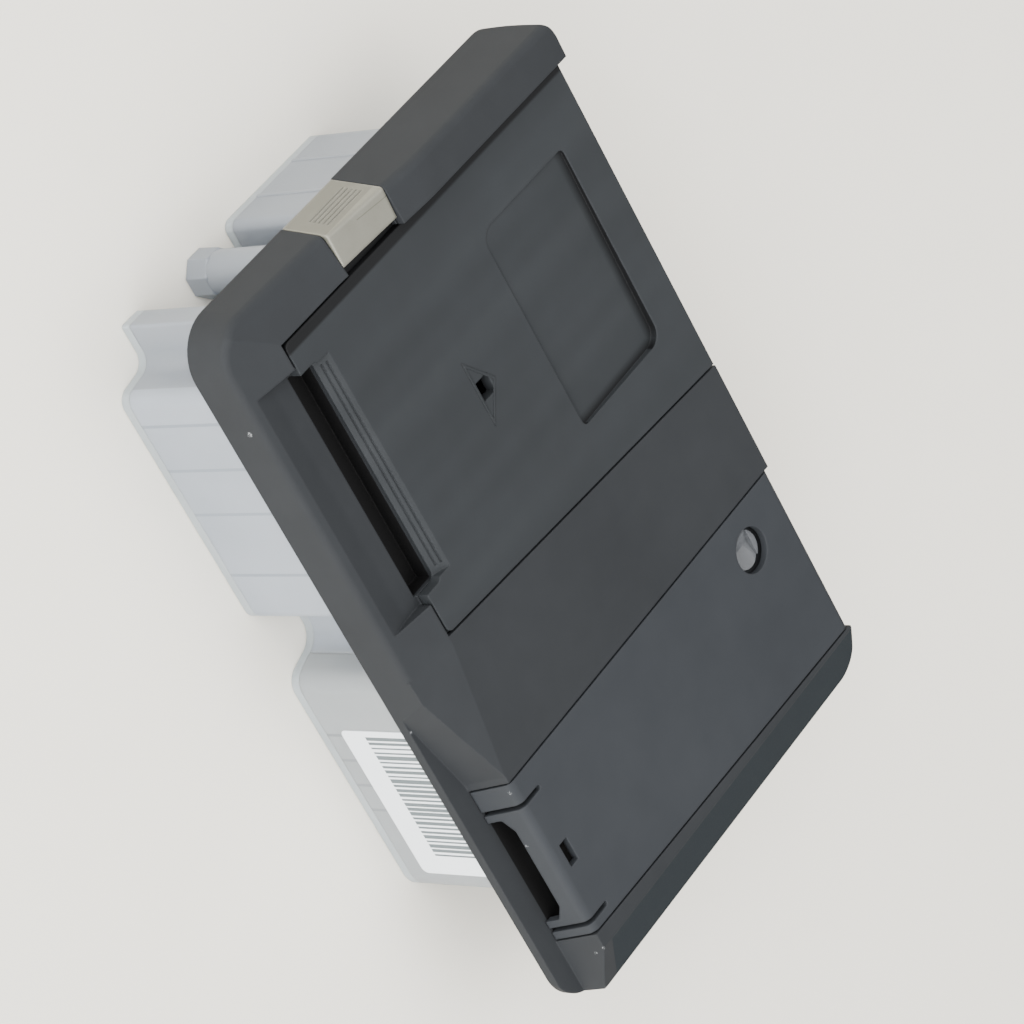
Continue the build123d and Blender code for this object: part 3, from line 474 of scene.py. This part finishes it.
end_tree(flow.add("GeometryNodeInstanceOnPoints", {}, {"Points": size["Geometry"], "Instance": wire}), steel)
for node, seat, coil, gauge, free, turns, joint, keep in (
    ("latch_spring", at(5.45, 100, 12.25), 0.001, 0.0003, 0.0019, 3.0, "lever_swing", 0.53),
    ("plunger_spring", at(104.05, 104, -17), 0.0038, 0.0007, 0.0079, 4.0, "dosing_stroke", 0.675),
):
    sizes = {"Coil": coil, "Wire": gauge, "Length": free, "Turns": turns}
    spring = grow(node + "_coil", [seat], spring_tree, sizes)
    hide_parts(node)
    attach(spring, "base")
    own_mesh(spring)

# Detergent cup: a deep tray of smooth grey polypropylene under the door, clipped behind the front's
# floor. Powder leaves a pale film low on its walls.
cup, shader, place = finish("cup_plastic")
drift = noise(place, 30, 3)
powder = noise(place, 400, 5)
depth = part_of(place, "Z")
film = (depth < -0.012) * powder * 0.35
turned, edge = soft_edge(place, 0.0006)
tone = drift * 0.5 + film + edge * 0.5
link(blend(tone, (0.05, 0.054, 0.057, 1), (0.16, 0.165, 0.168, 1)), shader, "Base Color")
link(0.34 + powder * 0.14 + film * 0.6, shader, "Roughness")
link(bump(powder, 0.12, 0.0001, turned), shader, "Normal")
dress(cup, "detergent_cup")

# Level window: a clear prism of styrene that stands in the tank and shows through the lid's eye. Its
# faces are polished, with a slight haze where rinse aid has dried.
lens, shader, place = finish("clear_plastic", IOR=1.57, Transmission_Weight=0.72)
film = noise(place, 260, 4)
link(blend(film, (0.25, 0.265, 0.29, 1), (0.42, 0.44, 0.47, 1)), shader, "Base Color")
link(0.04 + film * 0.1, shader, "Roughness")
link(bump(film, 0.06, 0.0001), shader, "Normal")
dress(lens, "level_lens")

# Label on the tank's wall: white coated paper with rounded corners that runs on under the front's
# edge, and a field of plain bars that carries no message.
paper, shader, place = finish("label_paper")
fibre = noise(place, 1500, 4)
curl = noise(place, 60, 2)
turned = soft_edge(place, 0.0001)[0]
link(blend(fibre * 0.5 + curl * 0.4, (0.72, 0.77, 0.82, 1), (0.8, 0.84, 0.88, 1)), shader, "Base Color")
link(0.45 + fibre * 0.15, shader, "Roughness")
link(bump(fibre * 0.4 + curl, 0.2, 0.0001, turned), shader, "Normal")
left_x, right_x, rear_z, front_z, corner_r = 136.5, 189.5, -30.5, -3.0, 2.0
outline = [(left_x, front_z)]
for middle_x, start in ((left_x + corner_r, 180), (right_x - corner_r, 270)):
    for turn in range(start, start + 91, 15):
        across, rise = cos(radians(turn)), sin(radians(turn))
        outline.append((middle_x + corner_r * across, rear_z + corner_r + corner_r * rise))
outline.append((right_x, front_z))
label = solid("label_sheet", [[at(x, y, z) for x, z in outline] for y in (4.35, 4.6)], paper)
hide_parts("tank_label")
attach(label, "base")

ink, shader, place = finish("label_ink")
patchy = noise(place, 2400, 3)
link(blend(patchy, (0.05, 0.07, 0.08, 1), (0.12, 0.145, 0.155, 1)), shader, "Base Color")
link(0.4 + patchy * 0.2, shader, "Roughness")
link(bump(patchy, 0.1, 0.00003), shader, "Normal")
bar_tree, size, flow = start_tree(
    "label_bars", {"Count": "NodeSocketInt", "Pitch": real, "Tall": real, "Film": real}
)
step = flow.add("ShaderNodeCombineXYZ", {}, {"X": size["Pitch"]})
row = flow.add("GeometryNodeMeshLine", {}, {"Count": size["Count"], "Offset": step})
start = flow.add("GeometryNodeInputPosition")
first = flow.add(
    "GeometryNodeSampleIndex",
    {"data_type": "FLOAT_VECTOR"},
    {0: size["Geometry"], "Value": start, "Index": 0},
)
row = flow.add("GeometryNodeTransform", {}, {"Geometry": row, "Translation": first})
slab = flow.add("ShaderNodeCombineXYZ", {}, {"X": size["Pitch"], "Y": size["Film"], "Z": size["Tall"]})
bar = flow.add("GeometryNodeMeshCube", {}, {"Size": slab})
wide = flow.add("FunctionNodeRandomValue", {"data_type": "FLOAT"}, {"Min": 0.3, "Max": 0.88, "Seed": 7}, 1)
stretch = flow.add("ShaderNodeCombineXYZ", {}, {"X": wide, "Y": 1.0, "Z": 1.0})
bars = flow.add("GeometryNodeInstanceOnPoints", {}, {"Points": row, "Instance": bar, "Scale": stretch})
end_tree(bars, ink)
bars = grow(
    "label_bar_field",
    [at(139.2, 4.34, -12.5)],
    bar_tree,
    {"Count": 26, "Pitch": 0.00172, "Tall": 0.0182, "Film": 0.00003},
)
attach(bars, "base")


# Front frame: one dark grey moulding of glass-filled polypropylene with the latch bar, the door's bay
# and the lid's bay. Its face has a fine spark-eroded grain and specks of dust, and its edges are lighter,
# partly as wear and partly as a painted highlight. The finger slot, the tab's room and the border past
# the lid are painted in shade, and a painted glint runs along the finger slot's near edge.
def grained(name, dark, pale, gloss):
    """Dark moulded plastic: drifting colour, a fine grain, edges lightened partly as wear and partly as a
    painted highlight. Returns what may be added to.
    """
    material, shader, place = finish(name, Specular_IOR_Level=0.18)
    drift = noise(place, 18, 3)
    cloud = noise(place, 110, 3)
    grain = noise(place, 2600, 3)
    turned, edge = soft_edge(place, 0.0007)
    # Edges lighter: partly wear, partly a painted highlight.
    edge_wear_and_highlight = edge * (0.5 + cloud)
    link(gloss + grain * 0.14 + drift * 0.06 - edge_wear_and_highlight * 0.25, shader, "Roughness")
    link(bump(grain, 0.28, 0.00007, turned), shader, "Normal")
    tone = drift * 0.45 + cloud * 0.2 + grain * 0.25 + edge_wear_and_highlight * 1.1
    return material, shader, place, blend(tone, dark, pale)


def dust(place, spots):
    """One in the grains of dust at some places, zero elsewhere."""
    found = 0.0
    for spot, reach in spots:
        away = place.add("ShaderNodeVectorMath", {"operation": "DISTANCE"}, {0: place, 1: spot}, "Value")
        found = found + (away < reach) * (noise(place, 2400, 2) > 0.53)
    return found


charcoal, shader, place, tone = grained(
    "frame_plastic", (0.0088, 0.0099, 0.0114, 1), (0.0262, 0.0288, 0.0322, 1), 0.6
)
specks = dust(
    place,
    (
        (at(31.5, 1.6, 7.2), 0.0008),
        (at(133.3, 1.0, 2.5), 0.0005),
        (at(221.6, 11.7, 14.8), 0.0005),
        (at(222.8, 10.7, 11.8), 0.0005),
    ),
)
# Painted glint: a thin pale line along the finger slot's near edge.
glint_middle, glint_half = Vector((-0.0574, -0.0569, 0.0104)), (0.0141, 0.0004, 0.0004)
glint = place.add("ShaderNodeMapping", {}, {"Vector": place, "Location": -glint_middle})
glint = glint.add("ShaderNodeVectorMath", {"operation": "ABSOLUTE"}, {0: glint})
glint = glint.add("ShaderNodeVectorMath", {"operation": "DIVIDE"}, {0: glint, 1: glint_half})
glint_line = 1.0
for axis in "XYZ":
    glint_line = glint_line * (part_of(glint, axis) < 1.0)
x, y, z = (part_of(place, axis) for axis in "XYZ")
# Painted shade: the finger slot and the tab's room below 9.5 mm go near black, and the border past the lid
# is darkened.
slot = (y > at(0, 19.7, 0).y) * (y < at(0, 40, 0).y) * (x > at(22, 0, 0).x) * (x < at(106, 0, 0).x)
tab_room = (y > at(0, 8.8, 0).y) * (y < at(0, 24, 0).y) * (x > at(166, 0, 0).x) * (x < at(214, 0, 0).x)
pocket_shade = (slot + tab_room) * (z < 0.0095)
border_shade = (x > at(222, 0, 0).x) * (y > at(0, 16, 0).y)
shown = blend(specks * 0.55 + glint_line * 0.5, tone, (0.28, 0.29, 0.3, 1))
shown = blend(border_shade * 0.6, shown, (0.001, 0.006, 0.01, 1))
link(blend(pocket_shade, shown, (0.002, 0.002, 0.0022, 1)), shader, "Base Color")
dress(charcoal, "front_frame")

# Release lever: a small rocker of white acetal on a steel pin inside the bar, smooth from its mould.
acetal, shader, place = finish("white_plastic", Subsurface_Weight=0.1, Subsurface_Scale=0.001)
drift = noise(place, 60, 3)
turned, edge = soft_edge(place, 0.0003)
link(blend(drift + edge, (0.72, 0.72, 0.69, 1), (0.84, 0.84, 0.81, 1)), shader, "Base Color")
link(0.3 + drift * 0.15, shader, "Roughness")
link(bump(drift, 0.08, 0.0001, turned), shader, "Normal")
dress(acetal, "release_lever")

# Latch button: a hollow cap in silver beige paint with fine flakes, guided in the bar's notch. Five
# grip grooves are moulded in its outer face. A painted highlight lightens its ridge and edges, and its
# outer face is painted darker as shade.
silver, shader, place = finish("silver_finish", Metallic=0.35, Coat_Weight=0.15, Coat_Roughness=0.25)
flakes = noise(place, 5200, 2)
cloud = noise(place, 140, 3)
turned, edge = soft_edge(place, 0.0012)
# Painted highlight: the ridge and edges are lightened.
edge_wear_and_highlight = edge * (0.6 + cloud)
scribe_start, scribe_turn = at(7.2, 53.5, 15), (0, 0, 0.067)
spot = place.add(
    "ShaderNodeMapping", {}, {"Vector": place, "Location": -scribe_start, "Rotation": scribe_turn}
)
across = part_of(spot, "X")
along = part_of(spot, "Y")
height = part_of(spot, "Z")
scribe = across.add("ShaderNodeMath", {"operation": "COMPARE"}, {0: across, 1: 0.0, 2: 0.00016})
scribe = scribe * (along > 0.0) * (height > 0.0)
# Painted shade: the outer face is darkened.
outer = part_of(place, "X") < at(3.2, 0, 0).x
tone = flakes * 0.35 + cloud * 0.3 + edge_wear_and_highlight * 2.2 - scribe * 1.5 - outer * 0.3
link(blend(tone, (0.115, 0.1135, 0.09, 1), (0.27, 0.266, 0.225, 1)), shader, "Base Color")
link(0.36 + flakes * 0.12 - edge_wear_and_highlight * 0.2, shader, "Roughness")
link(bump(flakes * 0.6 + cloud * 0.4 - scribe * 2.0, 0.12, 0.00005, turned), shader, "Normal")
dress(silver, "latch_button")

# Sliding door: a flat dark moulding on runners, with a ribbed finger grip, a thumb recess and a small
# vent. A thin painted shadow runs along its edge beside the bar, and painted shade darkens the foot of
# the recess's far and side walls. A low raised arrow round the vent points the way that it opens.
slate, shader, place, tone = grained(
    "door_plastic", (0.0078, 0.0093, 0.0108, 1), (0.0225, 0.0257, 0.029, 1), 0.56
)
hair = noise(place, 90, 1, (1, 0.03, 1))
x, y, z = (part_of(place, axis) for axis in "XYZ")
recess_low, recess_high = at(37.0, 97.9, 0), at(103.2, 139.3, 14.7)
recess = (x > recess_low.x) * (y > recess_low.y)
recess = recess * (x < recess_high.x) * (y < recess_high.y) * (z < recess_high.z)
# Painted shade: darker towards the recess's far and side walls.
far_foot = place.add(
    "ShaderNodeMapRange", {}, {"Value": y, "From Min": recess_high.y - 0.0036, "From Max": recess_high.y}
)
side_foot = place.add(
    "ShaderNodeMapRange", {}, {"Value": x, "From Min": recess_high.x - 0.003, "From Max": recess_high.x}
)
# Painted shadow: a thin dark ramp along the door's edge beside the bar.
step = place.add(
    "ShaderNodeMapRange", {}, {"Value": x, "From Min": at(20.3, 0, 0).x, "From Max": at(19.5, 0, 0).x}
)
shade = recess * far_foot.sum("MAXIMUM", far_foot, side_foot) + step
worn = blend(hair * 0.03, tone, (0.3, 0.31, 0.32, 1))
link(blend(shade * 0.85, worn, (0.0012, 0.0012, 0.0015, 1)), shader, "Base Color")
dress(slate, "detergent_door", "door_guide_strip")

vent_x, face_z = 70.4, 15.0
half_base, base_y, tip_y = 10.8, 69.4, 77.9
proud = 0.14
outer = [(vent_x - half_base, base_y), (vent_x + half_base, base_y), (vent_x, tip_y)]
inner_half, inner_y = half_base - 2.2, base_y + 0.75
inner = [(vent_x - inner_half, inner_y), (vent_x + inner_half, inner_y), (vent_x, tip_y - 1.1)]
rings = [
    [at(x, y, face_z + rise) for x, y in points]
    for points, rise in ((outer, 0.0), (outer, proud), (inner, proud), (inner, 0.0))
]
arrow = solid("vent_arrow", rings, slate, hollow=True)
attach(arrow, "door")

# Rinse aid lid: a dark moulded flap on a steel hinge pin, with a sprung finger tab between two slots,
# a square hole and a round eye over the level window.
graphite, shader, place, tone = grained(
    "lid_plastic", (0.0125, 0.0142, 0.0168, 1), (0.032, 0.0355, 0.0405, 1), 0.56
)
specks = dust(place, ((at(163.6, 11.5, 13.6), 0.0006), (at(182.1, 10.1, 10.0), 0.0005)))
link(blend(specks * 0.5, tone, (0.28, 0.29, 0.3, 1)), shader, "Base Color")
dress(graphite, "rinse_lid")

# Table top and studio: a plain pale table, a broad soft light from the latch side, a fill from the
# front and a pale surround. The camera stands where the photographer stood, with a long lens.
table, shader, place = finish("table_top")
weave = noise(place, 30, 4)
link(blend(weave, (0.89, 0.858, 0.765, 1), (0.92, 0.888, 0.8, 1)), shader, "Base Color")
link(0.6 + weave * 0.2, shader, "Roughness")
bottom = cad_low.z - 0.0002
mesh = bpy.data.meshes.new("table_top")
mesh.from_pydata([(-3, -3, bottom), (3, -3, bottom), (3, 3, bottom), (-3, 3, bottom)], [], [(0, 1, 2, 3)])
mesh.materials.append(table)
floor = bpy.data.objects.new("table_top", mesh)
bpy.context.scene.collection.objects.link(floor)

for name, spot, power, wide in (
    ("window_light", (-1.3, -1.0, 0.6), 48.0, 1.8),
    ("front_fill", (0.3, -1.6, 0.5), 46.0, 1.6),
    ("top_light", (-0.1, 0.1, 1.9), 26.0, 1.6),
):
    lamp = bpy.data.lights.new(name, "AREA")
    lamp.energy = power
    lamp.size = wide
    light = bpy.data.objects.new(name, lamp)
    light.location = spot
    light.rotation_mode = "QUATERNION"
    light.rotation_quaternion = (-Vector(spot)).to_track_quat("-Z", "Y")
    light.visible_camera = False
    bpy.context.scene.collection.objects.link(light)
world = bpy.data.worlds.new("studio")
world.use_nodes = True
surround = world.node_tree.nodes["Background"]
surround.inputs["Strength"].default_value = 1.75
aim = Flow(world.node_tree).add("ShaderNodeTexCoord", output="Generated")
away = aim.add("ShaderNodeVectorMath", {"operation": "DOT_PRODUCT"}, {0: aim, 1: (0.62, 0.78, 0.0)}, "Value")
link(blend((away > 0.0) * away, (1.0, 0.985, 0.96, 1), (0.28, 0.285, 0.3, 1)), surround, "Color")
bpy.context.scene.world = world

right, up, back = (0.4371, 0.5382, 0.7206), (-0.7832, 0.6217, 0.0108), (-0.4422, -0.5691, 0.6933)
spot = (-0.51797, -0.66459, 0.8041)
lens_data = bpy.data.cameras.new("camera")
lens_data.lens = 145.68
lens_data.sensor_width = 36
camera = bpy.data.objects.new("camera", lens_data)
camera.matrix_world = Matrix([[right[k], up[k], back[k], spot[k]] for k in range(3)] + [[0, 0, 0, 1]])
bpy.context.scene.collection.objects.link(camera)
bpy.context.scene.camera = camera
